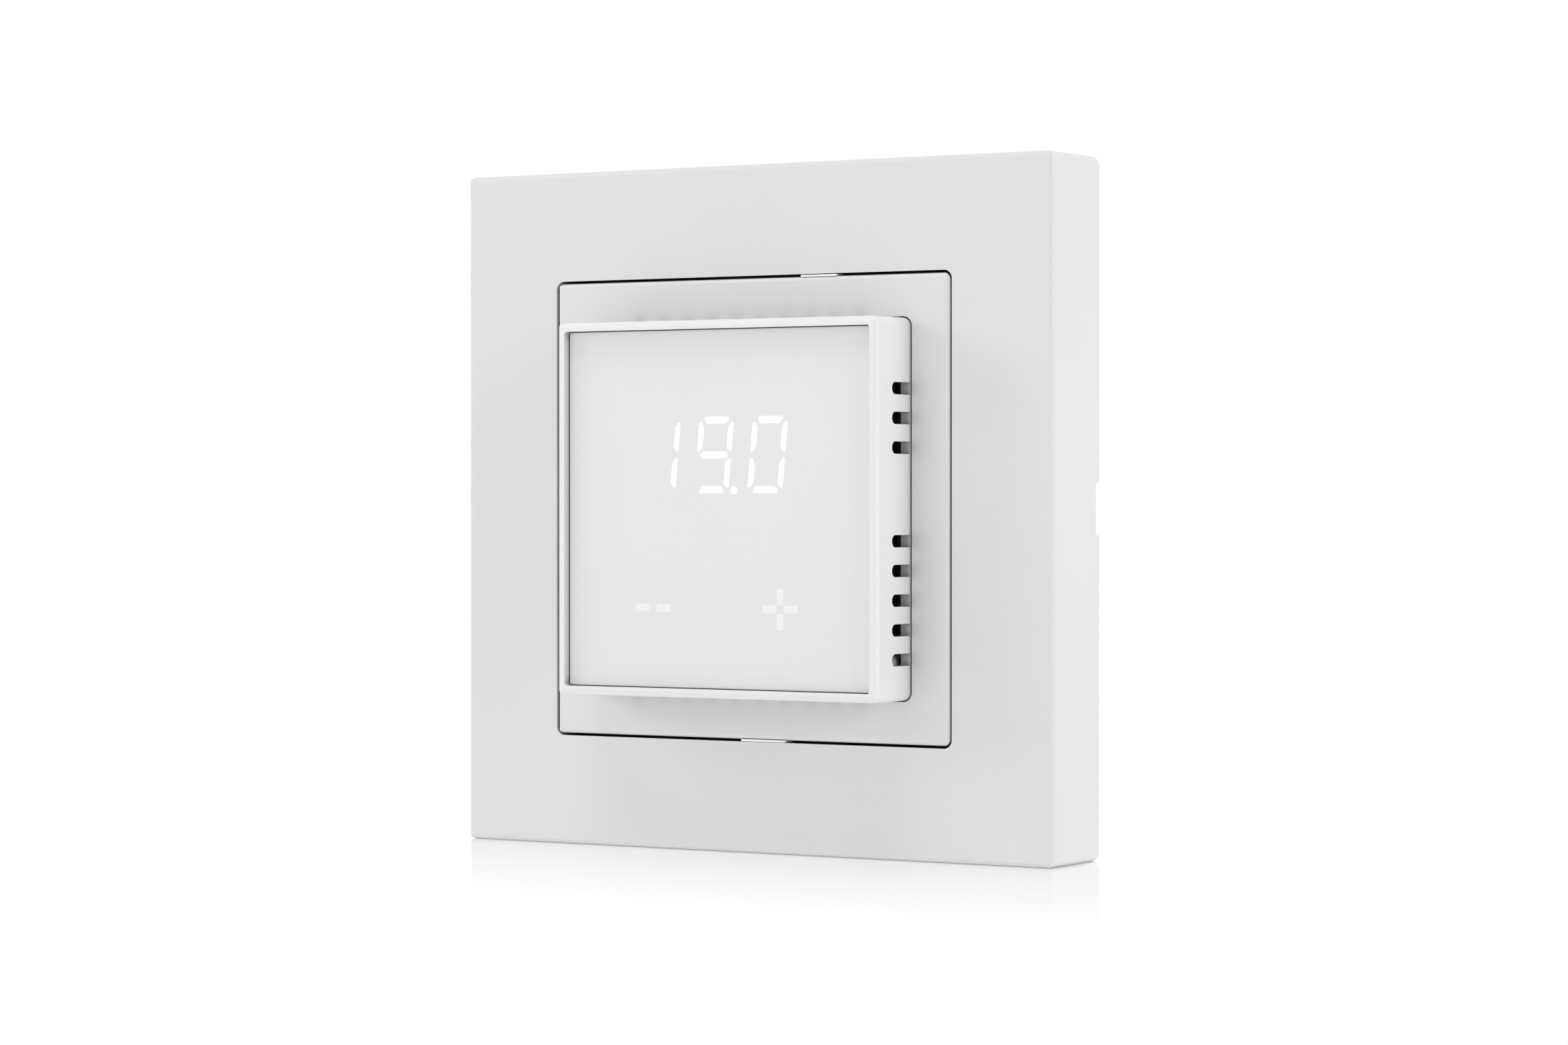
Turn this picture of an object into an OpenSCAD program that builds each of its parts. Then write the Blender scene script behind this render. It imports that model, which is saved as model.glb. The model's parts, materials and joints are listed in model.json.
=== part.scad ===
// Flush-mounted wall thermostat for a round 60 mm wall box.
// Row frame: X right, Z up, wall plane at Y = 0, the front faces -Y.
// Every sub-part is drawn lying down, with x right, y up and z out of the wall.
// on_wall() turns it upright.

/* [Outer frame] */
// Width and height of the outer frame
frame_w = 82.2; // [80:0.1:84]
// Distance from the wall to the outer frame's front
frame_front = 11.3; // [11.1:0.1:11.3]
// Thickness of the outer frame's walls
frame_wall = 2; // [1.6:0.1:2.4]
// Gap between the outer frame's window and the centre plate
window_gap = 0.3; // [0.25:0.01:0.35]
// Half length of the pry notches in the outer frame's rear edge
notch_half = 3.05; // [2:0.05:5]
// Depth of the pry notches
notch_d = 0.8; // [0.6:0.1:1.1]

/* [Centre plate] */
// Width and height of the centre plate, the usual 55 mm insert
plate_w = 55; // [54.8:0.1:55.2]
// Distance from the wall to the centre plate's front
plate_front = 11.4; // [11.3:0.1:11.5]
// Thickness of the centre plate
plate_t = 1.8; // [1.7:0.1:1.8]
// Gap between the centre plate and the head
head_gap = 0.15; // [0.12:0.01:0.2]

/* [Head] */
// Width and height of the square head
head_w = 44.7; // [44.5:0.1:44.9]
// Distance from the wall to the head's front rim
head_front = 19.1; // [19:0.1:19.4]
// Thickness of the head's walls
head_wall = 1.3; // [1.2:0.1:1.4]
// Width and height of the recess that holds the front panel
recess_w = 42.6; // [42.4:0.1:42.8]
// How far the front panel lies behind the head's rim
recess_d = 1; // [0.8:0.1:1.2]
// Thickness of the front panel
panel_t = 1.2; // [1:0.1:1.3]
// Gap all round the front panel
panel_gap = 0.08; // [0.06:0.01:0.12]

/* [Air slots] */
// Height of one air slot
slot_h = 1.45; // [1.1:0.05:1.6]
// Distance from the wall to the slots' round front ends
slot_front = 15.7; // [15:0.1:15.7]
// Pitch of the air slots
slot_pitch = 3.45; // [3.2:0.05:3.6]
// Number of slots in the upper and in the lower wall of the head
slot_count = 10; // [6:1:11]
// Height of the lowest slot in the side walls
side_low_y = -17.5; // [-17.8:0.05:-17]
// Number of slots in the side walls' lower group
side_low_count = 5; // [3:1:6]
// Height of the lowest slot of the side walls' upper group
side_high_y = 7.16; // [5:0.02:8]
// Number of slots in the side walls' upper group
side_high_count = 3; // [1:1:3]

/* [Display] */
// Height of a figure, over its two outer bars
figure_h = 9.08; // [8.6:0.02:9.4]
// Distance between the centre lines of a figure's uprights
figure_w = 4.1; // [3.9:0.05:4.3]
// Pitch of the figures
figure_pitch = 7.46; // [7:0.02:7.6]
// Middle of the three figures, from the left (x) and from the bottom (y)
display_at = [-0.56, 6.39]; // [-2:0.01:8]
// Sideways lean of the figures per unit of height
slant = 0.092; // [0:0.002:0.12]
// Height of a level bar
bar_t = 0.87; // [0.7:0.01:1]
// Width of an upright bar
upright_t = 0.76; // [0.6:0.01:0.9]

/* [Touch keys] */
// Height of the two keys' centres, below the head's middle
key_y = -11.75; // [-13:0.05:-10]
// Distance of the minus key and of the plus key from the middle
key_x = [-9.17, 8.6]; // [-11:0.01:11]
// Half length of the plus and minus signs
sign_half = 2.45; // [2:0.05:2.5]
// Width of the signs' arms
sign_t = 0.92; // [0.7:0.01:1]

/* [Base] */
// Width and height of the support ring
ring_w = 71; // [70:0.1:72]
// Thickness of the support ring
ring_t = 1.2; // [1:0.1:1.2]
// Distance between opposite fixing slots, as on every 60 mm wall box
fixing_span = 60; // [60:0.1:60.4]
// Length of a fixing slot, end to end
fixing_l = 6.4; // [6:0.1:6.4]
// Width of a fixing slot
fixing_t = 3.8; // [3.6:0.1:4]
// Width and height of the housing inside the wall box
housing_size = [44, 42]; // [42:0.5:44]
// Depth of the housing inside the wall
housing_d = 21; // [21:0.5:22]
// Thickness of the housing's walls
housing_wall = 1.6; // [1.4:0.1:1.6]

/* [Terminals] */
// Number of wire terminals
terminal_count = 6; // [4:1:6]
// Pitch of the terminals
terminal_pitch = 6; // [5.8:0.1:6]
// Radius of a terminal's wire bore
wire_r = 1.65; // [1.4:0.05:1.7]

/* [Hidden] */
$fn = 48;
tiny = 0.01;

window_w = plate_w + 2 * window_gap;
frame_r = 1.1;
frame_edge = 0.6;
window_r = 1.05;
ledge_z = 5.8;
ledge_t = 1.2;
ledge_w = 51.6;
collar_w = window_w + 2.4;

plate_r = 0.85;
plate_edge = 0.5;
plate_back = plate_front - plate_t;
rib_step = 0.1;
skirt_t = 1.4;
skirt_z = ledge_z + ledge_t + 0.05;
prong_w = 5;
prong_x = 14;
prong_y = [23.6, 25];
prong_z = 3.4;
guide_gap = 0.2;
hook_half = 4;
hook_z = 6.3;
hook_t = 0.6;

head_r = 1;
head_edge = 0.7;
head_back = 8;
head_flange_w = 46.6;
cavity_w = head_w - 2 * head_wall;
ledge_back = 15.7;
panel_front = head_front - recess_d;
panel_back = panel_front - panel_t;
panel_w = recess_w - 2 * panel_gap;
post_at = 18.5;

opening_w = 39.7;
side_slots = concat(
    [for (i = [0:side_low_count - 1]) side_low_y + i * slot_pitch],
    [for (i = [0:side_high_count - 1]) side_high_y + i * slot_pitch]
);

board_z = 10.4;
board_t = 1.2;
board_front = board_z + board_t;
led_h = 0.6;
guide_z = 12.4;

// Bars of a figure: top, upper right, lower right, bottom, lower left, upper left, middle
TOP = 0;
UPPER_RIGHT = 1;
LOWER_RIGHT = 2;
BOTTOM = 3;
LOWER_LEFT = 4;
UPPER_LEFT = 5;
MIDDLE = 6;
all_bars = [TOP, UPPER_RIGHT, LOWER_RIGHT, BOTTOM, LOWER_LEFT, UPPER_LEFT, MIDDLE];
// The bars that show one, nine and nought
shown = [
    [UPPER_RIGHT, LOWER_RIGHT],
    [TOP, UPPER_RIGHT, LOWER_RIGHT, BOTTOM, UPPER_LEFT, MIDDLE],
    [TOP, UPPER_RIGHT, LOWER_RIGHT, BOTTOM, LOWER_LEFT, UPPER_LEFT]
];
bar_l = 3.45;
middle_l = 3.83;
upright_l = 3.52;
upright_y = 2.12;
point_r = 0.49;
point_dx = 3.16;

flange_w = 52;
flange_z = ring_t;
cover_z = flange_z + 2;
cover_t = 2;
cover_front = cover_z + cover_t;
rear_z = -housing_d;
floor_z = rear_z + housing_wall;
stake_at = 23;
cover_post = [17.8, 16];
post_foot = -9.5;
partition_y = [-12.6, -11.6];
rib_top = -10;

power_z = -5;
power_t = 1.6;
power_front = power_z + power_t;

pin_pitch = 2.54;
pin_columns = 6;
pin_half = 0.32;
pin_top = 6;
socket_z = 1.5;
socket_size = [16, 5.8];

wire_z = -13.2;
terminal_y = [-19, -13];
terminal_mid = (terminal_y[0] + terminal_y[1]) / 2;
terminal_z = [-19, -10.5];
terminal_w = 4.8;

relay_y = 11.3;
lead_pitch = 1.27;

// ---- Shapes that repeat ----

// Turns a drawing with z out of the wall upright
module on_wall() {
    rotate([90, 0, 0]) children();
}

// Box between two corners
module block(x, y, z) {
    translate([x[0], y[0], z[0]]) cube([x[1] - x[0], y[1] - y[0], z[1] - z[0]]);
}

// Rectangle with round corners, centred
module round_rect(w, h, r) {
    square([w - 2 * r, h], center = true);
    square([w, h - 2 * r], center = true);
    for (sx = [-1, 1], sy = [-1, 1])
        translate([sx * (w / 2 - r), sy * (h / 2 - r)]) circle(r);
}

// Upright slab with round corners, from z0 to z1
module slab(w, h, r, z0, z1) {
    translate([0, 0, z0]) linear_extrude(z1 - z0) round_rect(w, h, r);
}

// Side view of a slab whose two front edges are rounded
module crown(w, edge, z0, z1) {
    translate([-w / 2, z0]) square([w, z1 - edge - z0]);
    translate([edge - w / 2, z0]) square([w - 2 * edge, z1 - z0]);
    for (s = [-1, 1])
        translate([s * (w / 2 - edge), z1 - edge]) circle(edge);
}

// Square slab with round corners and rounded front edges
module soft_slab(w, r, edge, z0, z1) {
    intersection() {
        slab(w, w, r, z0, z1);
        crossed() linear_extrude(w + 2, center = true) crown(w, edge, z0, z1);
    }
}

// The part that two standing extrusions share, one along y and one along x
module crossed() {
    intersection() {
        rotate([90, 0, 0]) children();
        rotate([90, 0, 90]) children();
    }
}

// Rectangle with cut corners, centred
module cut_rect(w, h, c) {
    x = w / 2;
    y = h / 2;
    polygon([
        [x, c - y], [x, y - c], [x - c, y], [c - x, y],
        [-x, y - c], [-x, c - y], [c - x, -y], [x - c, -y]
    ]);
}

// A child at each of four corners
module at_corners(x, y) {
    for (sx = [-1, 1], sy = [-1, 1])
        translate([sx * x, sy * y, 0]) children();
}

// Screw with its head's underside at z = 0 and its point towards +z
module screw(head_r, head_h, shank_r, length) {
    difference() {
        union() {
            translate([0, 0, -head_h]) cylinder(r = head_r, h = head_h);
            cylinder(r = shank_r, h = length);
        }
        // cross recess
        for (a = [0, 90])
            rotate([0, 0, a])
                block([-head_r * 0.6, head_r * 0.6], [-0.2, 0.2], [-head_h - 1, -head_h * 0.4]);
    }
}

// Open helix of round wire from z0 to z1
module helix(r, wire, turns, z0, z1) {
    sides = 6;
    steps = 16;
    rings = turns * steps;
    points = [
        for (i = [0:rings], k = [0:sides - 1])
            let (a = 360 * i / steps, b = 360 * k / sides, d = r + wire * cos(b))
            [d * cos(a), d * sin(a), z0 + (z1 - z0) * i / rings + wire * sin(b)]
    ];
    walls = [
        for (i = [0:rings - 1], k = [0:sides - 1])
            let (n = (k + 1) % sides)
            [(i + 1) * sides + k, (i + 1) * sides + n, i * sides + n, i * sides + k]
    ];
    ends = [
        [for (k = [0:sides - 1]) k],
        [for (k = [sides - 1:-1:0]) rings * sides + k]
    ];
    polyhedron(points, concat(walls, ends), convexity = 8);
}

// ---- Outer frame ----

module outer_frame() {
    inner_w = frame_w - 2 * frame_wall;
    inner_front = frame_front - frame_wall;
    color("gainsboro") on_wall() difference() {
        union() {
            difference() {
                soft_slab(frame_w, frame_r, frame_edge, 0, frame_front);
                slab(inner_w, inner_w, 0.5, -1, inner_front);
            }
            slab(collar_w, collar_w, 2, ledge_z, inner_front + tiny);
        }
        slab(window_w, window_w, window_r, ledge_z + ledge_t, frame_front + 1);
        slab(ledge_w, ledge_w, 1, ledge_z - 1, frame_front);
        for (a = [0:90:270])
            rotate([0, 0, a])
                block([inner_w / 2 - 1, frame_w / 2 + 1], [-notch_half, notch_half], [-1, notch_d]);
    }
}

// ---- Front unit ----

// Small ribs on the plate's edge keep it central in the frame's window
module centring_rib(x, side) {
    y = side * (plate_w / 2 + 0.1);
    block(x, [y - 0.15, y + 0.1], [plate_back, plate_front - rib_step]);
}

// A hook behind the head's flange and back cover
module plate_hook() {
    edge = head_flange_w / 2;
    block([edge + 0.2, edge + 1.2], [-hook_half, hook_half], [hook_z, plate_back + tiny]);
    block([edge - 0.6, edge + 0.4], [-hook_half, hook_half], [hook_z, hook_z + hook_t]);
}

// One of the four prongs that plug into the base's cover
module prong() {
    block([-prong_w / 2, prong_w / 2], prong_y, [prong_z, plate_back + tiny]);
}

// A child at the place of each prong
module at_prongs() {
    for (sx = [-1, 1], sy = [0, 1])
        mirror([0, sy, 0]) translate([sx * prong_x, 0, 0]) children();
}

module centre_plate() {
    hole_w = head_w + 2 * head_gap;
    color("gainsboro") on_wall() {
        difference() {
            union() {
                soft_slab(plate_w, plate_r, plate_edge, plate_back, plate_front);
                slab(plate_w, plate_w, plate_r, skirt_z, plate_back + tiny);
            }
            slab(plate_w - 2 * skirt_t, plate_w - 2 * skirt_t, 1, skirt_z - 1, plate_back);
            slab(hole_w, hole_w, head_r + head_gap, skirt_z, plate_front + 1);
        }
        at_prongs() prong();
        for (s = [0, 1])
            mirror([s, 0, 0]) plate_hook();
        centring_rib([7.3, 12.2], 1);
        centring_rib([-1.05, 5.1], -1);
    }
}

// One air slot through the wall on the right, at height y: square at the plate, round in front
module air_slot(y) {
    r = slot_h / 2;
    x = [cavity_w / 2 - 1, head_w / 2 + 1];
    block(x, [y - r, y + r], [plate_front, slot_front - r]);
    translate([x[0], y, slot_front - r]) rotate([0, 90, 0]) cylinder(r = r, h = x[1] - x[0]);
}

module head_housing() {
    row = [for (i = [0:slot_count - 1]) (i - (slot_count - 1) / 2) * slot_pitch];
    color("whitesmoke") on_wall() difference() {
        union() {
            difference() {
                union() {
                    soft_slab(head_w, head_r, head_edge, head_back, head_front);
                    slab(head_flange_w, head_flange_w, 1.6, head_back, plate_back - 0.05);
                }
                slab(cavity_w, cavity_w, 0.8, head_back - 1, ledge_back);
                slab(opening_w, opening_w, 0.5, head_back, head_front);
                slab(recess_w, recess_w, 0.35, panel_back, head_front + 1);
                for (y = side_slots, s = [0, 1])
                    mirror([s, 0, 0]) air_slot(y);
                for (y = row, a = [90, 270])
                    rotate([0, 0, a]) air_slot(y);
            }
            // posts for the back cover's screws
            at_corners(post_at, post_at)
                translate([0, 0, head_back]) cylinder(r = 2, h = ledge_back - head_back + tiny);
        }
        at_corners(post_at, post_at) translate([0, 0, head_back - 1]) cylinder(r = 1, h = 7);
    }
}

// Outlines of a figure's bars, each leaned over by the figures' slant
function leaned(points, at) = [for (p = points) [p[0] + at[0] + slant * (p[1] + at[1]), p[1] + at[1]]];

// A level bar whose corners are cut by c at the top and by d at the bottom
function level_bar(l, c, d) = let (x = l / 2, y = bar_t / 2) [
    [d[0] - x, -y], [x - d[0], -y], [x, d[1] - y], [x, y - c[1]],
    [x - c[0], y], [c[0] - x, y], [-x, y - c[1]], [-x, d[1] - y]
];

// An upright bar on the right of a figure: its inner corners are cut, its outer ones only just
function upright_bar(side) = let (w = upright_t / 2, h = upright_l / 2) [
    for (p = [
        [w, 0.2 - h], [w, h - 0.2], [w - 0.14, h], [w - 0.36, h - 0.02],
        [-w, h - 0.62], [-w, 0.62 - h], [w - 0.36, 0.02 - h], [w - 0.14, -h]
    ]) [side * p[0], p[1]]
];

small_cut = [0.16, 0.22];
large_cut = [0.42, 0.5];
middle_cut = [0.3, 0.3];
bar_y = (figure_h - bar_t) / 2;
// Turns of the arms of the minus sign and of the plus sign
sign_turns = [[0, 180], [0, 90, 180, 270]];
sign_middle = 0.06;

function bar_outline(i) =
    i == TOP ? leaned(level_bar(bar_l, small_cut, large_cut), [0, bar_y]) :
    i == BOTTOM ? leaned(level_bar(bar_l, large_cut, small_cut), [0, -bar_y]) :
    i == MIDDLE ? leaned(level_bar(middle_l, middle_cut, middle_cut), [0, 0]) :
    i == UPPER_RIGHT ? leaned(upright_bar(1), [figure_w / 2, upright_y]) :
    i == LOWER_RIGHT ? leaned(upright_bar(1), [figure_w / 2, -upright_y]) :
    i == LOWER_LEFT ? leaned(upright_bar(-1), [-figure_w / 2, -upright_y]) :
    leaned(upright_bar(-1), [-figure_w / 2, upright_y]);

// One bar of one figure, from z0 to z1
module bar(figure, i, z0, z1) {
    translate([display_at[0] + (figure - 1) * figure_pitch, display_at[1], z0])
        linear_extrude(z1 - z0) polygon(bar_outline(i));
}

module point(figure, z0, z1) {
    x = display_at[0] + (figure - 1) * figure_pitch + point_dx - slant * bar_y;
    translate([x, display_at[1] - bar_y - 0.06, z0]) cylinder(r = point_r, h = z1 - z0);
}

function is_shown(figure, i) = len([for (s = shown[figure]) if (s == i) s]) > 0;

// Bars and points of the display, the lit ones or the dark ones
module figure_bars(lit, z0, z1) {
    for (f = [0:2], i = all_bars)
        if (is_shown(f, i) == lit) bar(f, i, z0, z1);
    for (f = [0, 1])
        if ((f == 1) == lit) point(f, z0, z1);
}

// Arms of the minus sign and of the plus sign, as bars that leave the middle free
module sign_arms(z0, z1) {
    half = sign_t / 2;
    for (sign = [0, 1], a = sign_turns[sign])
        translate([key_x[sign], key_y, 0]) rotate([0, 0, a])
            block([half + sign_middle, sign_half], [-half, half], [z0, z1]);
}

module front_panel() {
    color("whitesmoke") on_wall() difference() {
        soft_slab(panel_w, 0.3, 0.12, panel_back, panel_front);
        figure_bars(true, panel_back - 1, panel_front + 1);
        figure_bars(false, panel_back - 1, panel_front + 1);
        sign_arms(panel_back - 1, panel_front + 1);
    }
}

module light_block() {
    color("black") on_wall() difference() {
        block([-17, 17], [-16, 14], [board_front, panel_back]);
        figure_bars(true, board_front - 1, panel_back + 1);
        figure_bars(false, board_front - 1, panel_back + 1);
        for (x = key_x)
            translate([x, key_y, board_front - 1]) cylinder(r = 3.8, h = panel_back - board_front + 2);
    }
}

module lit_segments() {
    color("white") on_wall() figure_bars(true, guide_z, panel_front);
}

module unlit_segments() {
    color("whitesmoke") on_wall() figure_bars(false, guide_z, panel_front);
}

module key_light_guides() {
    color("white") on_wall() {
        for (x = key_x)
            translate([x, key_y, guide_z]) cylinder(r = 2.6, h = panel_back - guide_z);
        sign_arms(panel_back - tiny, panel_front);
    }
}

module touch_springs() {
    color("silver") on_wall() for (x = key_x)
        translate([x, key_y, 0]) helix(3.2, 0.2, 4, board_front + 0.25, panel_back - 0.25);
}

// One lamp behind each bar and point and one behind each key
module display_leds() {
    color("lightyellow") on_wall() {
        for (f = [0:2], i = all_bars)
            led_at(display_at + [(f - 1) * figure_pitch, 0] + bar_middle(i));
        for (x = key_x)
            led_at([x, key_y]);
    }
}

function bar_middle(i) =
    i == TOP ? [slant * bar_y, bar_y] :
    i == BOTTOM ? [-slant * bar_y, -bar_y] :
    i == MIDDLE ? [0, 0] :
    let (
        sx = i == UPPER_RIGHT || i == LOWER_RIGHT ? 1 : -1,
        sy = i == UPPER_RIGHT || i == UPPER_LEFT ? 1 : -1
    )
    [sx * figure_w / 2 + slant * sy * upright_y, sy * upright_y];

module led_at(p) {
    block([p[0] - 0.25, p[0] + 0.25], [p[1] - 0.25, p[1] + 0.25], [board_front, board_front + led_h]);
}

module display_board() {
    color("black") on_wall() difference() {
        slab(40, 40, 1, board_z, board_front);
        at_corners(post_at, post_at) translate([0, 0, board_z - 1]) cylinder(r = 2.3, h = board_t + 2);
    }
}

module microcontroller() {
    color("dimgray") on_wall() translate([0, 12, 0]) {
        slab(7, 7, 0.2, board_z - 1, board_z);
        for (a = [0:90:270], i = [-3:3])
            rotate([0, 0, a]) block([3.4, 4.1], [i - 0.15, i + 0.15], [board_z - 0.3, board_z]);
    }
}

module air_sensor() {
    color("black") on_wall() translate([19, -10.63, 0]) {
        translate([0, 0, 13.6]) sphere(1);
        for (s = [-1, 1])
            translate([0, s * 0.5, board_front]) cylinder(r = 0.2, h = 1.6);
    }
}

module board_socket() {
    color("dimgray") on_wall() difference() {
        slab(socket_size[0], socket_size[1], 0.3, socket_z, board_z);
        at_pins() pin(0.4, socket_z - 1, pin_top + 0.5);
    }
}

module head_back_cover() {
    color("whitesmoke") on_wall() difference() {
        slab(head_flange_w, head_flange_w, 1.6, head_back - 1, head_back);
        slab(socket_size[0] + 0.6, socket_size[1] + 0.6, 0.5, head_back - 2, head_back + 1);
        at_corners(post_at, post_at) translate([0, 0, head_back - 2]) cylinder(r = 1.1, h = 3);
    }
}

module back_cover_screws() {
    color("silver") on_wall() at_corners(post_at, post_at)
        translate([0, 0, head_back - 1]) screw(1.8, 0.8, 0.95, 6);
}

// ---- Base ----

module support_ring() {
    color("silver") on_wall() difference() {
        slab(ring_w, ring_w, 3, 0, ring_t);
        translate([0, 0, -1]) linear_extrude(ring_t + 2)
            cut_rect(housing_size[0] + 0.6, housing_size[1] + 0.6, 4);
        for (a = [0:90:270])
            rotate([0, 0, a]) translate([fixing_span / 2, 0, 0]) fixing_slot();
        at_corners(stake_at, stake_at) translate([0, 0, -1]) cylinder(r = 1.3, h = ring_t + 2);
    }
}

module fixing_slot() {
    half = (fixing_l - fixing_t) / 2;
    block([-half, half], [-fixing_t / 2, fixing_t / 2], [-1, ring_t + 1]);
    for (s = [-1, 1])
        translate([s * half, 0, -1]) cylinder(r = fixing_t / 2, h = ring_t + 2);
}

function terminal_x(i) = (i - (terminal_count - 1) / 2) * terminal_pitch;

module base_housing() {
    inner = housing_size - [2 * housing_wall, 2 * housing_wall];
    half_w = inner[0] / 2 + tiny;
    half_h = inner[1] / 2 + tiny;
    color("dimgray") on_wall() difference() {
        union() {
            difference() {
                union() {
                    translate([0, 0, rear_z]) linear_extrude(flange_z + housing_d)
                        cut_rect(housing_size[0], housing_size[1], 4);
                    slab(flange_w, flange_w, 2, flange_z, cover_z);
                }
                translate([0, 0, floor_z]) linear_extrude(cover_z - floor_z + 1)
                    cut_rect(inner[0], inner[1], 3.3);
            }
            // wall between the terminals and the electronics
            block([-half_w, half_w], partition_y, [floor_z - tiny, power_z - 0.1]);
            // ribs between the terminals
            for (i = [0:terminal_count - 2])
                translate([terminal_x(i) + terminal_pitch / 2, 0, 0])
                    block([-0.5, 0.5], [-half_h, partition_y[0] + 0.1], [floor_z - tiny, rib_top]);
            // posts for the cover's screws, with a shoulder that carries the power board
            at_corners(cover_post[0], cover_post[1]) {
                translate([0, 0, post_foot]) cylinder(r = 2.7, h = power_z - post_foot);
                translate([0, 0, post_foot]) cylinder(r = 2, h = cover_z - post_foot);
            }
            // stakes that hold the support ring
            at_corners(stake_at, stake_at) translate([0, 0, 0.1]) cylinder(r = 1.2, h = flange_z);
        }
        at_corners(cover_post[0], cover_post[1]) translate([0, 0, -4]) cylinder(r = 1, h = cover_z + 5);
        // wire holes below and screwdriver holes behind
        for (i = [0:terminal_count - 1]) {
            translate([terminal_x(i), -housing_size[1] / 2 - 1, wire_z])
                rotate([-90, 0, 0]) cylinder(r = 2, h = housing_wall + 2);
            translate([terminal_x(i), terminal_mid, rear_z - 1]) cylinder(r = 2.2, h = housing_wall + 2);
        }
    }
}

module base_cover() {
    color("gray") on_wall() difference() {
        slab(flange_w, flange_w, 2, cover_z, cover_front);
        slab(socket_size[0] + 1, socket_size[1] + 1, 0.5, cover_z - 1, cover_front + 1);
        at_corners(cover_post[0], cover_post[1]) {
            translate([0, 0, cover_z - 1]) cylinder(r = 1.15, h = cover_t + 2);
            translate([0, 0, cover_front - 1]) cylinder(r = 2.1, h = 2);
        }
        // guides for the front unit's prongs
        at_prongs() block(
            [-prong_w / 2 - guide_gap, prong_w / 2 + guide_gap],
            [prong_y[0] - guide_gap, prong_y[1] + guide_gap],
            [cover_z - 1, cover_front + 1]
        );
    }
}

module cover_screws() {
    color("silver") on_wall() at_corners(cover_post[0], cover_post[1])
        translate([0, 0, cover_front - 1]) rotate([180, 0, 0]) screw(1.9, 0.9, 0.95, 7);
}

module terminal_blocks() {
    length = terminal_y[1] - terminal_y[0];
    color("goldenrod") on_wall() for (i = [0:terminal_count - 1])
        translate([terminal_x(i), 0, 0]) {
            difference() {
                block([-terminal_w / 2, terminal_w / 2], terminal_y, terminal_z);
                translate([0, terminal_y[0] - 1, wire_z])
                    rotate([-90, 0, 0]) cylinder(r = wire_r, h = length + 2);
                translate([0, terminal_mid, terminal_z[0] - 1])
                    cylinder(r = 1.3, h = wire_z - terminal_z[0] + 1);
            }
            // leg soldered to the power board
            block([-0.5, 0.5], [terminal_y[1] - 1, terminal_y[1] - 0.3], [terminal_z[1] - tiny, power_z]);
        }
}

module terminal_screws() {
    color("silver") on_wall() for (i = [0:terminal_count - 1])
        translate([terminal_x(i), terminal_mid, terminal_z[0]]) screw(1.9, 1.4, 1.2, 3.9);
}

module power_board() {
    color("darkgreen") on_wall() difference() {
        translate([0, 0, power_z]) linear_extrude(power_t) cut_rect(40, 38, 3.2);
        at_corners(cover_post[0], cover_post[1])
            translate([0, 0, power_z - 1]) cylinder(r = 2.2, h = power_t + 2);
        at_pins() pin(0.4, power_z - 1, power_front + 1);
    }
}

// Square pin
module pin(half, z0, z1) {
    block([-half, half], [-half, half], [z0, z1]);
}

// A child at each pin of the plug between the base and the front unit
module at_pins() {
    for (i = [0:pin_columns - 1], s = [-1, 1])
        translate([(i - (pin_columns - 1) / 2) * pin_pitch, s * pin_pitch / 2, 0]) children();
}

module header_body() {
    color("dimgray") on_wall() difference() {
        slab(15.6, 5.4, 0.3, power_front, power_front + 2.5);
        at_pins() pin(pin_half, power_front - 1, power_front + 4);
    }
}

module header_pins() {
    color("gold") on_wall() at_pins() pin(pin_half, power_z, pin_top);
}

module transformer_core() {
    color("black") on_wall() translate([-11.5, -4, 0]) {
        difference() {
            block([-6.5, 6.5], [-2.5, 2.5], [-16, power_z]);
            block([-4.7, -2], [-3, 3], [-14.4, power_z - 1.6]);
            block([2, 4.7], [-3, 3], [-14.4, power_z - 1.6]);
        }
    }
}

module transformer_winding() {
    color("goldenrod") on_wall() translate([-11.5, -4, 0]) difference() {
        block([-4.6, 4.6], [-5.4, 5.4], [-14.2, power_z - 1.8]);
        block([-2, 2], [-2.5, 2.5], [-15, power_z]);
    }
}

module smoothing_capacitor() {
    color("navy") on_wall() translate([0.6, -3.5, power_z - 11]) {
        translate([0, 0, 1.2]) cylinder(r = 4.2, h = 9.8);
        cylinder(r = 4.2, h = 0.8);
        cylinder(r = 3.9, h = 2);
    }
}

module suppression_capacitor() {
    color("gold") on_wall() translate([12.8, -7.8, 0]) slab(11, 5, 0.4, -14, power_z);
}

module surge_varistor() {
    color("royalblue") on_wall() translate([12.8, 0, 0]) {
        translate([0, 1.6, -10.2]) rotate([90, 0, 0]) cylinder(r = 4.2, h = 3.2);
        for (s = [-1, 1])
            translate([s * 2.5, s * 0.8, -8]) cylinder(r = 0.4, h = 8 + power_z);
    }
}

module fuse() {
    color("wheat") on_wall() {
        translate([-4, 3.1, -7]) rotate([0, 90, 0]) cylinder(r = 1.4, h = 8);
        for (x = [-4.6, 4])
            block([x, x + 0.6], [2.8, 3.4], [-7.3, power_z]);
    }
}

module converter_chip() {
    color("dimgray") on_wall() translate([-11, -9, 0]) {
        block([-2.4, 2.4], [-1.9, 1.9], [power_front, power_front + 1.5]);
        for (s = [-1, 1], i = [-1.5:1.5])
            translate([i * lead_pitch, s * 2.3, 0])
                block([-0.2, 0.2], [-0.6, 0.6], [power_front, power_front + 0.4]);
    }
}

// ---- Relay, drawn standing on its base with z away from the power board ----

hinge_x = -12.4;
pole_x = -6.4;
pole_top = 9.9;
armature_z = 10.25;
contact_x = 7;

module on_board() {
    on_wall() translate([0, relay_y, power_z]) rotate([180, 0, 0]) children();
}

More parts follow.
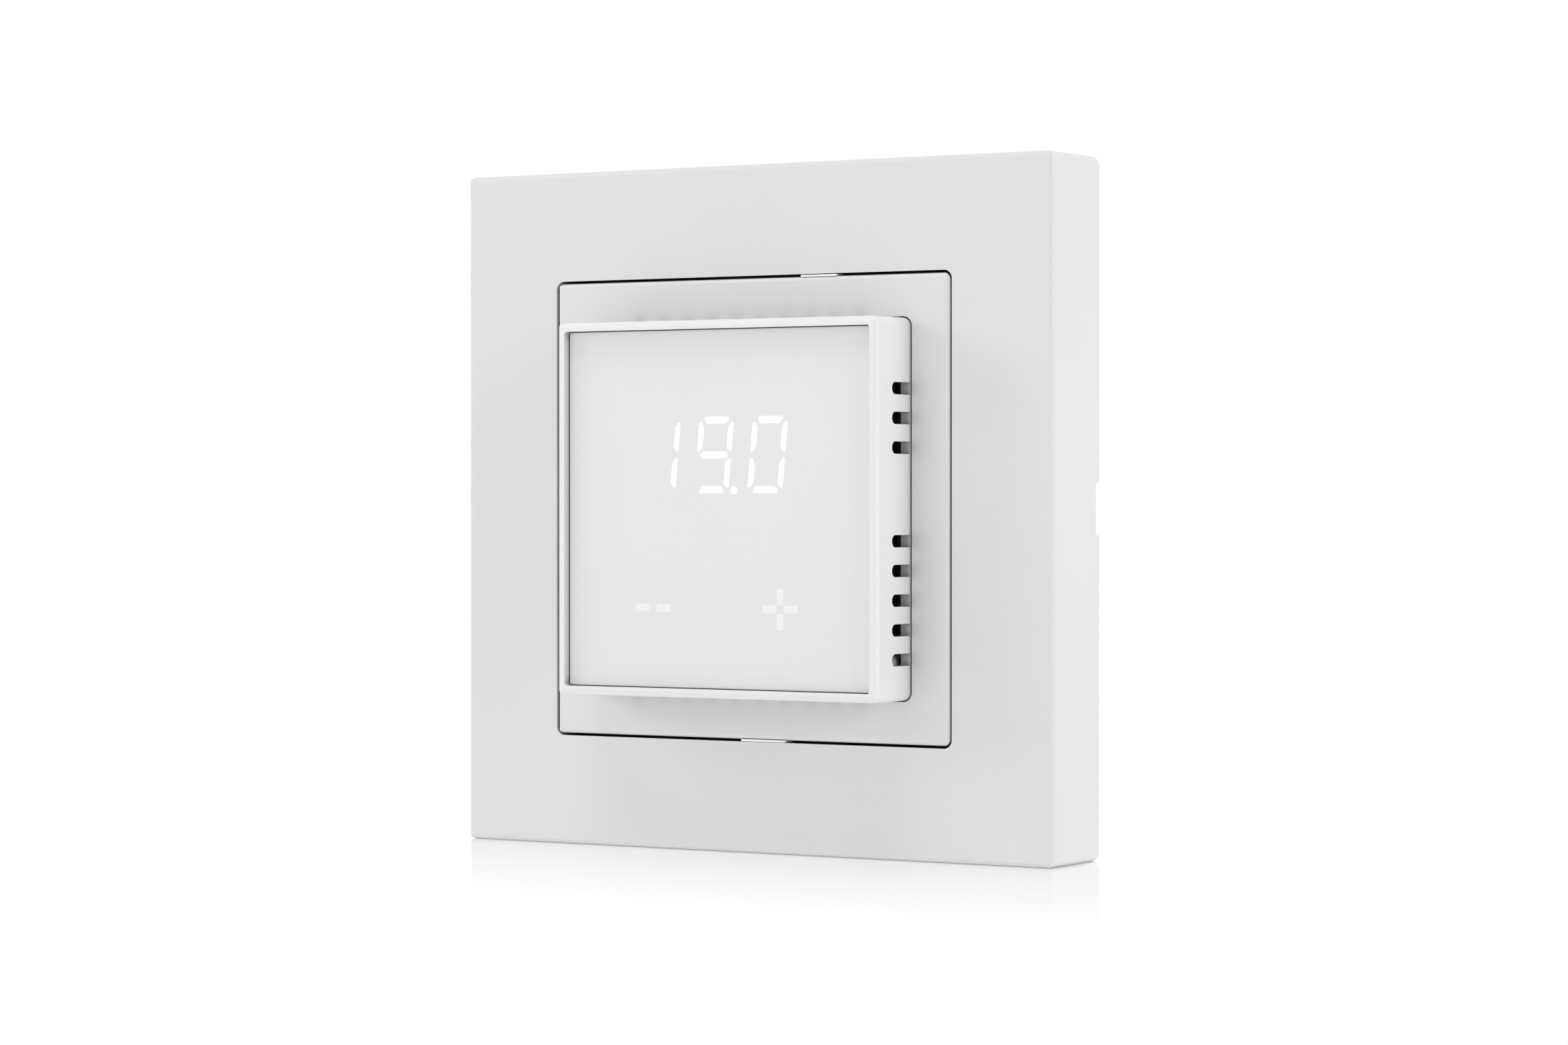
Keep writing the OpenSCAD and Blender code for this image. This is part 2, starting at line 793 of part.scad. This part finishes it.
module relay_case() {
    color("black") on_board() difference() {
        slab(28.8, 12.6, 0.6, 0, 12.3);
        slab(27.2, 11, 0.3, -1, 11.5);
    }
}

module relay_base() {
    color("dimgray") on_board() slab(27, 10.8, 0.3, 0, 1.5);
}

module relay_yoke() {
    color("silver") on_board() {
        block([hinge_x, pole_x + 3], [-4, 4], [1.5, 2.5]);
        block([hinge_x, hinge_x + 1], [-4, 4], [1.5, armature_z - 0.1]);
        translate([pole_x, 0, 2.4]) cylinder(r = 1.6, h = pole_top - 2.4);
        translate([pole_x, 0, pole_top - 0.5]) cylinder(r = 2.6, h = 0.5);
    }
}

module relay_bobbin() {
    color("dimgray") on_board() translate([pole_x, 0, 0]) difference() {
        union() {
            translate([0, 0, 2.6]) cylinder(r = 4.1, h = 0.6);
            translate([0, 0, 2.6]) cylinder(r = 2.1, h = 6.6);
            translate([0, 0, 8.6]) cylinder(r = 4.1, h = 0.6);
        }
        translate([0, 0, 2]) cylinder(r = 1.65, h = 8);
    }
}

module relay_winding() {
    color("peru") on_board() translate([pole_x, 0, 3.25]) difference() {
        cylinder(r = 3.8, h = 5.3);
        translate([0, 0, -1]) cylinder(r = 2.15, h = 8);
    }
}

module relay_fixed_contact() {
    color("goldenrod") on_board() {
        block([contact_x - 0.4, contact_x + 4], [-2.5, 2.5], [8.2, 8.6]);
        block([contact_x + 3.6, contact_x + 4], [-2.5, 2.5], [1.5, 8.6]);
        translate([contact_x, 0, 8.2]) cylinder(r = 1.2, h = 1.2);
    }
}

module relay_armature() {
    color("silver") on_board() block([hinge_x, pole_x + 3.6], [-3.6, 3.6], [armature_z, armature_z + 0.7]);
}

module relay_contact_spring() {
    color("goldenrod") on_board() {
        block([hinge_x + 2, contact_x + 1.4], [-2, 2], [armature_z + 0.7, armature_z + 0.9]);
        translate([contact_x, 0, armature_z]) cylinder(r = 1.2, h = 0.8);
    }
}

outer_frame();
centre_plate();
head_housing();
front_panel();
light_block();
lit_segments();
unlit_segments();
key_light_guides();
touch_springs();
display_leds();
display_board();
microcontroller();
air_sensor();
board_socket();
head_back_cover();
back_cover_screws();
support_ring();
base_housing();
base_cover();
cover_screws();
terminal_blocks();
terminal_screws();
power_board();
header_body();
header_pins();
transformer_core();
transformer_winding();
smoothing_capacitor();
suppression_capacitor();
surge_varistor();
fuse();
converter_chip();
relay_case();
relay_base();
relay_yoke();
relay_bobbin();
relay_winding();
relay_fixed_contact();
relay_armature();
relay_contact_spring();
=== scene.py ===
import json
import math

import bpy
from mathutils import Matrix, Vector


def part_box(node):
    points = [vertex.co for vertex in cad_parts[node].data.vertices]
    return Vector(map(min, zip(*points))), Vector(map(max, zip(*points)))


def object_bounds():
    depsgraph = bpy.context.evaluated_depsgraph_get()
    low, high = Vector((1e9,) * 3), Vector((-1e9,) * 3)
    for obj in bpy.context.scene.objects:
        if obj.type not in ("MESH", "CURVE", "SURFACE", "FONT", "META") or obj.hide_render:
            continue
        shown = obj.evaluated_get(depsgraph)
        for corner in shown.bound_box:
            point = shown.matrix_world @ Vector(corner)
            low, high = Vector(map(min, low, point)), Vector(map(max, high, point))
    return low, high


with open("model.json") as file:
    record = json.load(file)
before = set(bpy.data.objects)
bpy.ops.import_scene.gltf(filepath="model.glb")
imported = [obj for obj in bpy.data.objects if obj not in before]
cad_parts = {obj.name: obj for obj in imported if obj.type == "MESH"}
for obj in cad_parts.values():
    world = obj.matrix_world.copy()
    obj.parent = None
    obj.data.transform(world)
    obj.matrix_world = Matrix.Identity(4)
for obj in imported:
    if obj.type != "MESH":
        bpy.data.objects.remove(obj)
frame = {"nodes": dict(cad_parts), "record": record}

CAD_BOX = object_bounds()
NODES = frame["nodes"]
MM = 0.001
MICRON = 0.001 * MM

# ---- Shader helpers ----

# Most of a noise texture's values lie between these two.
NOISE_LOW = 0.3
NOISE_HIGH = 0.7
AO_SAMPLES = 8


class Shader:
    """A new material with a Principled shader, and short calls to add nodes to it."""

    def __init__(self, name):
        self.material = bpy.data.materials.new(name)
        self.material.use_nodes = True
        self.tree = self.material.node_tree
        self.surface = self.tree.nodes["Principled BSDF"]
        self.coordinates = self.tree.nodes.new("ShaderNodeTexCoord").outputs
        self.position = self.coordinates["Object"]
        self.body = None

    def set(self, **values):
        """Sets the Principled shader's own sockets, such as Coat_Weight=0.3."""
        for name, value in values.items():
            self.surface.inputs[name.replace("_", " ")].default_value = value
        return self

    def add(self, kind, **values):
        """A new node, with its input sockets or its settings set by name."""
        node = self.tree.nodes.new("ShaderNode" + kind)
        for name, value in values.items():
            if name in node.inputs:
                node.inputs[name].default_value = value
            else:
                setattr(node, name, value)
        return node

    def link(self, output, target):
        self.tree.links.new(output, target)

    def place(self, scale=(1, 1, 1)):
        """The object's position, stretched by scale."""
        mapping = self.add("Mapping", Scale=scale)
        self.link(self.position, mapping.inputs["Vector"])
        return mapping.outputs["Vector"]

    def noise(self, scale, detail, stretch=(1, 1, 1)):
        node = self.add("TexNoise", Scale=scale, Detail=detail, Roughness=0.55)
        self.link(self.place(stretch), node.inputs["Vector"])
        return node.outputs["Fac"]

    def cells(self, scale):
        node = self.add("TexVoronoi", Scale=scale)
        self.link(self.place(), node.inputs["Vector"])
        return node

    def span(self, value, low, high, start=0.0, end=1.0):
        """value, remapped from start..end to low..high."""
        node = self.add("MapRange")
        self.link(value, node.inputs["Value"])
        for name, number in (("From Min", start), ("From Max", end), ("To Min", low), ("To Max", high)):
            node.inputs[name].default_value = number
        return node.outputs["Result"]

    def ramp(self, value, stops):
        """A colour for value, from a list of (place, colour)."""
        node = self.add("ValToRGB")
        elements = node.color_ramp.elements
        while len(elements) < len(stops):
            elements.new(0.5)
        for element, (place, colour) in zip(elements, stops):
            element.position = place
            element.color = (*colour, 1)
        self.link(value, node.inputs["Fac"])
        return node.outputs["Color"]

    def shade(self, colour, reach, stops, extent=None):
        """The colour times a grey, from a list of (openness within reach, grey): painted shade. An extent
        says how much of the painted shade each place keeps."""
        openness = self.add("AmbientOcclusion", Distance=reach, samples=AO_SAMPLES)
        dark = self.add("MixRGB", blend_type="MULTIPLY", Fac=1.0)
        self.link(colour, dark.inputs["Color1"])
        self.link(self.ramp(openness.outputs["AO"], stops), dark.inputs["Color2"])
        if extent:
            self.link(extent, dark.inputs["Fac"])
        return dark.outputs["Color"]

    def away(self, output, axis):
        """How far the object's Object position or Normal is from zero along an axis."""
        split = self.add("SeparateXYZ")
        self.link(self.coordinates[output], split.inputs["Vector"])
        size = self.add("Math", operation="ABSOLUTE")
        self.link(split.outputs[axis], size.inputs[0])
        return size.outputs["Value"]

    def product(self, first, second):
        node = self.add("Math", operation="MULTIPLY")
        self.link(first, node.inputs[0])
        self.link(second, node.inputs[1])
        return node.outputs["Value"]

    def paint_highlight_beyond(self, colour, axis, start, white):
        """The colour, painted white where the place is further than start along an axis: a painted highlight.
        """
        beyond = self.add("Math", operation="GREATER_THAN")
        beyond.inputs[1].default_value = start
        self.link(self.away("Object", axis), beyond.inputs[0])
        mix = self.add("MixRGB", Color2=(*white, 1))
        self.link(beyond.outputs["Value"], mix.inputs["Fac"])
        self.link(colour, mix.inputs["Color1"])
        return mix.outputs["Color"]

    def colour(self, output):
        """Makes the output the surface's colour, and keeps it as body for a later layer."""
        self.body = output
        self.link(output, self.surface.inputs["Base Color"])

    def mottle(self, colour, share, scale, detail):
        """The colour, darker and lighter by a share of itself in soft patches."""
        stops = [(NOISE_LOW, scaled(colour, 1 - share)), (NOISE_HIGH, scaled(colour, 1 + share))]
        self.colour(self.ramp(self.noise(scale, detail), stops))

    def uneven(self, low, high, scale, detail, stretch=(1, 1, 1)):
        """A value that wanders between low and high."""
        return self.span(self.noise(scale, detail, stretch), low, high, NOISE_LOW, NOISE_HIGH)

    def roughness(self, output):
        self.link(output, self.surface.inputs["Roughness"])

    def bump(self, *layers):
        """Layers of (height, depth in metres), one bump on the next."""
        normal = None
        for height, depth in layers:
            node = self.add("Bump", Distance=depth, Strength=1.0)
            self.link(height, node.inputs["Height"])
            if normal:
                self.link(normal, node.inputs["Normal"])
            normal = node.outputs["Normal"]
        self.link(normal, self.surface.inputs["Normal"])


def grey(value):
    return (value, value, value)


def scaled(colour, factor):
    """The colour times a factor, kept between black and white."""
    return tuple(max(0.0, min(1.0, c * factor)) for c in colour)


# ---- Materials ----

WHITE_FRAME = 0.735
WHITE_HEAD = 0.82
WHITE_PANEL = 0.785
# The near-white of the painted highlight on the centre plate's ribs.
RIB_HIGHLIGHT = 0.97

# Painted seam shade: a seam is as dark as SEAM_GREY where its openness is SEAM_DEEP of the openness at which
# it starts.
SEAM_REACH = 1.5 * MM
SEAM_GREY = 0.02
SEAM_DEEP = 0.1
FRAME_SEAM = 0.55
PLATE_SEAM = 0.45
HEAD_SEAM = 0.7

# The frame's painted seam shade ends a little outside its window.
WINDOW_HALF = 30 * MM
# How much of the painted seam shade is lost by the window walls that face sideways.
SIDE_LIGHT = 0.8

# Painted shade on the head's walls: they are darkest, CORNER_GREY, where they meet the plate.
CORNER_REACH = 5 * MM
CORNER_GREY = 0.78
CORNER_CLOSED = 0.5
CORNER_OPEN = 0.95

# A wave texture of scale 1 repeats after this many metres.
WAVE_PERIOD = 2 * math.pi / 20


def moulded(name, colour, roughness, grain, grain_size, mottle=0.012, coat=0.0):
    """Injection-moulded plastic: a soft mottle, uneven gloss, flow waves, and a spark-eroded grain that is
    grain metres deep and grain_size millimetres wide."""
    s = Shader(name).set(IOR=1.46, Coat_Weight=coat, Coat_Roughness=0.12)
    s.mottle(colour, mottle, 38, 4)
    s.roughness(s.uneven(roughness - 0.05, roughness + 0.05, 260, 4))
    layers = [(s.noise(22, 1.5), 20 * MICRON)]
    if grain:
        layers.append((s.noise(1 / (grain_size * MM), 2.5), grain))
    s.bump(*layers)
    return s


def paint_seam_shade(s, openness, extent=None):
    """Places less open than openness, which are narrow seams, get painted shade: their colour is darkened."""
    stops = [(SEAM_DEEP * openness, grey(SEAM_GREY)), (openness, grey(1.0))]
    s.colour(s.shade(s.body, SEAM_REACH, stops, extent))


def outer_frame(name):
    """The outer frame's plastic, with painted seam shade in its window. The window's upright walls, which
    face the side light, keep less of the painted shade and stay brighter.
    """
    s = moulded(name, grey(WHITE_FRAME), roughness=0.42, grain=1.2 * MICRON, grain_size=0.12)
    sideways = s.span(s.away("Normal", "X"), 1.0, 1.0 - SIDE_LIGHT)
    window = s.span(s.away("Object", "Z"), 1.0, 0.0, WINDOW_HALF, WINDOW_HALF + SEAM_REACH)
    paint_seam_shade(s, FRAME_SEAM, s.product(sideways, window))
    return s


def centre_plate(name):
    """The centre plate's plastic, with painted seam shade. The centring ribs that stand out of its upper and
    lower edge are painted nearly white, a painted highlight.
    """
    s = moulded(name, grey(WHITE_FRAME), roughness=0.42, grain=1.2 * MICRON, grain_size=0.12)
    paint_seam_shade(s, PLATE_SEAM)
    plate_half = max(vertex.co.x for vertex in NODES["centre_plate"].data.vertices)
    # Painted highlight: the ribs, beyond the plate's half width, are painted nearly white.
    s.colour(s.paint_highlight_beyond(s.body, "Z", plate_half, grey(RIB_HIGHLIGHT)))
    return s


def head(name):
    """The head's plastic, with painted seam shade, and a soft painted shade on its walls towards the plate.
    """
    s = moulded(name, grey(WHITE_HEAD), roughness=0.46, grain=1.5 * MICRON, grain_size=0.1)
    paint_seam_shade(s, HEAD_SEAM)
    # Painted shade, darkest where the head's walls meet the plate.
    stops = [(CORNER_CLOSED, grey(CORNER_GREY)), (CORNER_OPEN, grey(1.0))]
    s.colour(s.shade(s.body, CORNER_REACH, stops))
    return s


def lit(name, colour, light):
    """A translucent light guide with a lamp behind it, a little uneven in its light."""
    s = Shader(name).set(IOR=1.49, Roughness=0.35, Emission_Color=(1, 1, 1, 1))
    s.mottle(colour, 0.01, 200, 2)
    s.link(s.uneven(light * 0.96, light * 1.04, 400, 2), s.surface.inputs["Emission Strength"])
    s.bump((s.noise(900, 2), 2 * MICRON))
    return s


def zinc_sheet(name):
    """Galvanised sheet: grey spangle with fine rolling scratches."""
    s = Shader(name).set(Metallic=1.0)
    spangle = s.cells(700)
    s.colour(s.ramp(spangle.outputs["Color"], [(0.2, (0.5, 0.51, 0.52)), (0.8, (0.6, 0.61, 0.62))]))
    s.roughness(s.uneven(0.3, 0.48, 700, 4))
    s.bump((spangle.outputs["Distance"], 6 * MICRON), (s.noise(900, 3, (1, 1, 14)), 4 * MICRON))
    return s


def drawn_metal(name, colour, roughness, scratch=(1, 1, 10)):
    """Plated or machined metal with fine lines along one direction."""
    s = Shader(name).set(Metallic=1.0)
    s.mottle(colour, 0.1, 500, 4)
    s.roughness(s.uneven(roughness - 0.08, roughness + 0.1, 800, 4, scratch))
    s.bump((s.noise(1500, 3, scratch), 4 * MICRON))
    return s


def circuit_board(name):
    """Green solder mask, lighter where it lies on copper tracks."""
    s = Shader(name).set(IOR=1.5, Coat_Weight=0.3, Coat_Roughness=0.15)
    tracks = s.add("TexBrick", Scale=260, **{"Mortar Size": 0.16, "Brick Width": 1.1, "Row Height": 0.35})
    s.link(s.place(), tracks.inputs["Vector"])
    weave = s.noise(1400, 2)
    mask = s.ramp(weave, [(NOISE_LOW, (0.012, 0.10, 0.045)), (NOISE_HIGH, (0.02, 0.14, 0.06))])
    copper = s.add("MixRGB", Color2=(0.03, 0.22, 0.09, 1))
    s.link(tracks.outputs["Fac"], copper.inputs["Fac"])
    s.link(mask, copper.inputs["Color1"])
    s.colour(copper.outputs["Color"])
    s.roughness(s.uneven(0.28, 0.42, 300, 3))
    s.bump((tracks.outputs["Fac"], 30 * MICRON), (weave, 5 * MICRON))
    return s


def wound_wire(name, colour, turn):
    """Enamelled wire wound side by side round an axis along Y, one turn every turn metres, with painted shade
    and highlight across each turn.
    """
    s = Shader(name).set(Metallic=0.7)
    wave = s.add("TexWave", bands_direction="Y", Scale=WAVE_PERIOD / turn, Distortion=0.4)
    s.link(s.position, wave.inputs["Vector"])
    # Painted shade and highlight: each turn runs from darker to lighter across the round wire.
    s.colour(s.ramp(wave.outputs["Fac"], [(0.0, scaled(colour, 0.75)), (1.0, scaled(colour, 1.25))]))
    s.roughness(s.uneven(0.29, 0.43, 500, 3))
    s.bump((wave.outputs["Fac"], 80 * MICRON))
    return s


def ceramic(name, colour):
    s = Shader(name).set(IOR=1.6)
    s.mottle(colour, 0.08, 900, 5)
    s.roughness(s.uneven(0.55, 0.75, 500, 3))
    s.bump((s.noise(2500, 4), 10 * MICRON))
    return s


# Slots of moulded plastic: colour, roughness, grain depth in microns, grain size in mm, mottle, coat.
MOULDED = {
    "panel_plastic": (grey(WHITE_PANEL), 0.34, 0.8, 0.1, 0.006, 0.0),
    "display_dark": (grey(WHITE_PANEL), 0.34, 0.8, 0.1, 0.006, 0.0),
    "dark_board": (grey(0.02), 0.35, 4, 0.3, 0.1, 0.3),
    "diffuser_plastic": (grey(0.03), 0.6, 4, 0.15, 0.012, 0.0),
    "inner_plastic": (grey(0.7), 0.5, 3, 0.15, 0.012, 0.0),
    "base_plastic": ((0.055, 0.055, 0.06), 0.62, 12, 0.22, 0.08, 0.0),
    "connector_plastic": (grey(0.03), 0.55, 4, 0.15, 0.05, 0.0),
    "chip_plastic": (grey(0.022), 0.5, 4, 0.12, 0.05, 0.0),
    "relay_plastic": (grey(0.028), 0.4, 3, 0.15, 0.05, 0.0),
    "sensor_bead": (grey(0.02), 0.2, 0, 0.2, 0.05, 0.6),
    "winding_tape": ((0.72, 0.52, 0.05), 0.25, 20, 0.8, 0.05, 0.5),
    "capacitor_sleeve": ((0.012, 0.03, 0.1), 0.22, 10, 0.6, 0.08, 0.5),
    "film_capacitor": ((0.72, 0.42, 0.03), 0.35, 3, 0.2, 0.04, 0.0),
    "varistor_coating": ((0.02, 0.09, 0.32), 0.3, 30, 0.9, 0.06, 0.4),
}

# Slots of metal: colour, roughness, and how much the scratches are squeezed along X, Y and Z.
METALS = {
    "spring_steel": ((0.62, 0.62, 0.6), 0.3, (1, 1, 10)),
    "screw_steel": ((0.66, 0.67, 0.68), 0.28, (3, 3, 3)),
    "soft_iron": ((0.52, 0.51, 0.5), 0.36, (1, 1, 10)),
    "terminal_brass": ((0.74, 0.56, 0.26), 0.3, (8, 1, 1)),
    "pin_gold": ((0.86, 0.62, 0.24), 0.24, (1, 8, 1)),
    "contact_brass": ((0.74, 0.44, 0.22), 0.3, (8, 1, 1)),
}

MAKERS = {
    "frame_plastic": outer_frame,
    "plate_plastic": centre_plate,
    "head_plastic": head,
    "display_light": lambda name: lit(name, grey(0.9), light=0.12),
    "key_light": lambda name: lit(name, grey(0.85), light=0.02),
    "led_light": lambda name: lit(name, (0.9, 0.8, 0.35), light=0.2),
    "ferrite": lambda name: ceramic(name, grey(0.035)),
    "ceramic_body": lambda name: ceramic(name, (0.62, 0.55, 0.42)),
    "circuit_board": circuit_board,
    "zinc_steel": zinc_sheet,
    "copper_wire": lambda name: wound_wire(name, (0.62, 0.24, 0.09), turn=0.4932 * MM),
}


def make_material(slot):
    """The material of a slot, from whichever of the three tables lists it."""
    if slot in MOULDED:
        colour, roughness, microns, grain_size, mottle, coat = MOULDED[slot]
        return moulded(slot, colour, roughness, microns * MICRON, grain_size, mottle, coat).material
    if slot in METALS:
        return drawn_metal(slot, *METALS[slot]).material
    return MAKERS[slot](slot).material


SHARP_EDGE = math.radians(28)


def smooth(node):
    """Curved faces look curved, and edges of SHARP_EDGE or more stay sharp."""
    mesh = node.data
    mesh.shade_smooth()
    mesh.set_sharp_from_angle(angle=SHARP_EDGE)


def paint_nodes():
    """Gives each CAD node the material of its slot."""
    made = {}
    for part in frame["record"]["subparts"]:
        slot, node = part["material_slot"], NODES[part["node"]]
        if slot not in made:
            made[slot] = make_material(slot)
        node.data.materials.clear()
        node.data.materials.append(made[slot])
        smooth(node)


paint_nodes()

# ---- Stage, light and camera ----

STAGE_GLOW = 1.01
TABLE_REACH = 4.0
WALL_BACK = 1.6
WALL_HEIGHT = 3.0
BEND = 0.5
BEND_STEPS = 16

# The table's glow is darkened to CONTACT_GREY where the object stands on it: a painted contact shadow.
CONTACT_REACH = 1 * MM
CONTACT_GREY = 0.4
CONTACT_CLOSED = 0.1
CONTACT_OPEN = 0.6

# The table's mirror is whole at the frame's front and ends MIRROR_REACH in front of it. It fades out at its
# sides, and under the back half of the frame.
TABLE_IOR = 1.6
MIRROR_REACH = 60 * MM
MIRROR_SIDE = 70 * MM
MIRROR_FADE = 30 * MM

# Each light's place, its size and its power in watts. All of them point at the origin.
SKY = 0.36
LIGHTS = {
    "key_left": ((-1.2, -0.45, 0.5), (0.6, 0.6), 5.0),
    "front_left": ((-0.5, -1.3, 0.35), (0.9, 0.9), 3.0),
    "overhead": ((-0.1, -0.35, 1.3), (0.8, 0.4), 6.8),
    "side_right": ((1.3, -0.2, 0.2), (0.8, 0.9), 7.8),
}

# The camera is a little under half a metre away, to the right, level with the middle.
LENS = 97.2
SENSOR = 36
NEAR_CLIP = 0.01
CAMERA_PLACE = (0.2686, -0.4390, 0.0019)
YAW = math.radians(31.65)
PITCH = math.radians(-0.40)


def add_object(name, data):
    thing = bpy.data.objects.new(name, data)
    bpy.context.scene.collection.objects.link(thing)
    return thing


def mirror_share(s, front_y):
    """How much of the table's light is a mirror image, at each place."""
    place = s.add("SeparateXYZ")
    s.link(s.position, place.inputs["Vector"])
    ahead = s.span(place.outputs["Y"], 1.0, 0.0, front_y, front_y - MIRROR_REACH)
    behind = s.span(place.outputs["Y"], 1.0, 0.0, front_y / 2, 0.0)
    beside = s.span(s.away("Object", "X"), 1.0, 0.0, MIRROR_SIDE, MIRROR_SIDE + MIRROR_FADE)
    grazing = s.add("Fresnel", IOR=TABLE_IOR).outputs["Fac"]
    return s.product(s.product(ahead, behind), s.product(beside, grazing))


def stage_material(front_y):
    """White table and wall, lit evenly, that mirror the object a little and less and less in front of it, and
    have a painted contact shadow where the object stands.
    """
    s = Shader("white_table")
    glow = s.add("Emission", Strength=STAGE_GLOW)
    # Painted contact shadow: the glow is darker where the object stands on the table.
    contact = s.add("AmbientOcclusion", Distance=CONTACT_REACH, samples=AO_SAMPLES)
    stops = [(CONTACT_CLOSED, grey(CONTACT_GREY)), (CONTACT_OPEN, grey(1.0))]
    s.link(s.ramp(contact.outputs["AO"], stops), glow.inputs["Color"])
    gloss = s.add("BsdfGlossy", Roughness=0.0, Color=(1, 1, 1, 1))
    mix = s.add("MixShader")
    s.link(mirror_share(s, front_y), mix.inputs["Fac"])
    s.link(glow.outputs["Emission"], mix.inputs[1])
    s.link(gloss.outputs["BSDF"], mix.inputs[2])
    s.link(mix.outputs["Shader"], s.tree.nodes["Material Output"].inputs["Surface"])
    return s.material


def build_stage():
    """A white table under the object that curves up into a white wall behind it."""
    floor_z = CAD_BOX[0].z
    front_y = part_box("outer_frame")[0].y
    profile = [(-TABLE_REACH, floor_z)]
    for i in range(BEND_STEPS + 1):
        a = math.pi / 2 * i / BEND_STEPS
        profile.append((WALL_BACK - BEND + BEND * math.sin(a), floor_z + BEND - BEND * math.cos(a)))
    profile.append((WALL_BACK, floor_z + WALL_HEIGHT))
    points = [(x, y, z) for y, z in profile for x in (-TABLE_REACH, TABLE_REACH)]
    faces = [(2 * i, 2 * i + 1, 2 * i + 3, 2 * i + 2) for i in range(len(profile) - 1)]
    mesh = bpy.data.meshes.new("table")
    mesh.from_pydata(points, [], faces)
    mesh.shade_smooth()
    mesh.materials.append(stage_material(front_y))
    add_object("table", mesh)


def area_light(name, place, size, power):
    data = bpy.data.lights.new(name, "AREA")
    data.shape = "RECTANGLE"
    data.size, data.size_y = size
    data.energy = power
    lamp = add_object(name, data)
    lamp.location = place
    lamp.rotation_euler = (-Vector(place)).to_track_quat("-Z", "Y").to_euler()


def build_light():
    for name, (place, size, power) in LIGHTS.items():
        area_light(name, place, size, power)
    world = bpy.data.worlds.new("studio")
    world.use_nodes = True
    sky = world.node_tree.nodes["Background"]
    sky.inputs["Color"].default_value = (1, 1, 1, 1)
    sky.inputs["Strength"].default_value = SKY
    bpy.context.scene.world = world
    bpy.context.scene.view_settings.view_transform = "Standard"


def build_camera():
    data = bpy.data.cameras.new("camera")
    data.lens = LENS
    data.sensor_width = SENSOR
    data.clip_start = NEAR_CLIP
    camera = add_object("camera", data)
    camera.location = CAMERA_PLACE
    camera.rotation_euler = (math.pi / 2 + PITCH, 0, YAW)
    bpy.context.scene.camera = camera


build_stage()
build_light()
build_camera()
